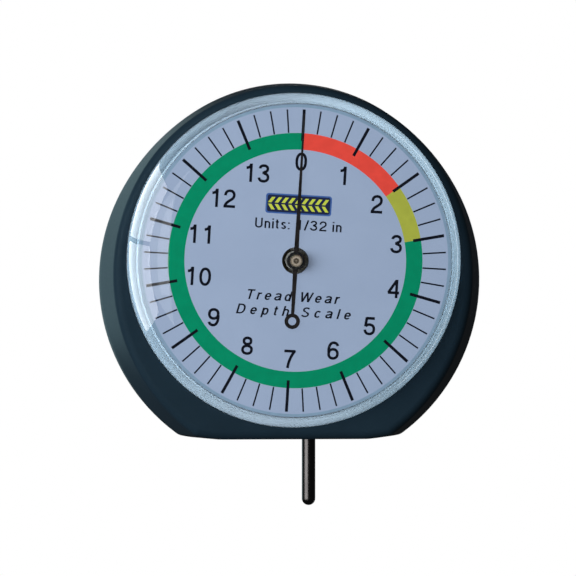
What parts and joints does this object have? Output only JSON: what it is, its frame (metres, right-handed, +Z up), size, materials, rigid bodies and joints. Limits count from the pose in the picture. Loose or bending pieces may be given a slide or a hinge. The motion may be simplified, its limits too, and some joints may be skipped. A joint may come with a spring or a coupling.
{
  "type": "tire tread depth gauge",
  "caption": "Dial gauge with a flat-footed case, domed crystal and a sprung probe; a rack and pinion turn its needle once over the probe's travel to read tread depth.",
  "frame": {"origin": "on the flat measuring foot, straight below the dial's axis and level in Y with the probe's axis", "axes": "+Z up from the foot, the dial faces -Y, the probe points to -Z, +X to the right as the dial is read"},
  "size_m": [0.062, 0.0246, 0.0686],
  "materials": {
    "case_plastic": "satin, very dark blue-grey, moulded",
    "cover_plastic": "fine matt moulded texture",
    "crystal_clear": "clear, polished acrylic look",
    "dial_paint": "matt pale blue-grey paint with printed scale",
    "screw_steel": "zinc plated",
    "ground_steel": "ground and polished",
    "spring_steel": "blued spring wire",
    "pointer_black": "satin black paint",
    "boss_black": "black",
    "cap_brass": "turned",
    "bumper_rubber": "matt",
    "movement_brass": "bright, fine-turned and blanked"
  },
  "bodies": {
    "case": {"back_cover": "cover_plastic", "case_body": "case_plastic", "cover_screw_1": "screw_steel", "cover_screw_2": "screw_steel", "cover_screw_3": "screw_steel", "cover_screw_4": "screw_steel", "crystal": "crystal_clear", "dial_plate": "dial_paint", "front_arbor_bush": "movement_brass", "guide_channel": "movement_brass", "hairspring": "spring_steel", "hairspring_stud": "movement_brass", "lower_spindle_bush": "movement_brass", "mount_screw_1": "screw_steel", "mount_screw_2": "screw_steel", "mount_screw_3": "screw_steel", "movement_front_plate": "movement_brass", "movement_pillar_1": "movement_brass", "movement_pillar_2": "movement_brass", "movement_pillar_3": "movement_brass", "movement_pillar_4": "movement_brass", "movement_rear_plate": "movement_brass", "pillar_screw_1": "screw_steel", "pillar_screw_2": "screw_steel", "pillar_screw_3": "screw_steel", "pillar_screw_4": "screw_steel", "rear_arbor_bush": "movement_brass", "return_spring": "spring_steel", "return_spring_post": "movement_brass", "stop_bumper": "bumper_rubber", "upper_spindle_guide": "movement_brass"},
    "probe": {"rack_spindle": "ground_steel", "probe_rod": "ground_steel", "guide_pin": "ground_steel"},
    "needle": {"arbor": "ground_steel", "pinion": "movement_brass", "hairspring_collet": "movement_brass", "pointer": "pointer_black", "pointer_boss": "boss_black", "pointer_cap": "cap_brass"}
  },
  "joints": [
    {"name": "probe_slide", "type": "slide", "parent": "case", "child": "probe", "axis": [0, 0, 1], "range_m": [0, 0.01111], "stiffness_N_per_m": 55, "springref_m": -0.009, "deforming": ["return_spring"]},
    {"name": "pointer_turn", "type": "hinge", "parent": "case", "child": "needle", "pos_m": [0, 0, 0.02895], "axis": [0, -1, 0], "range_deg": [0, 360]}
  ],
  "couplings": [
    {"joint": "pointer_turn", "follows": "probe_slide", "rad_per_m": 565.42}
  ]
}
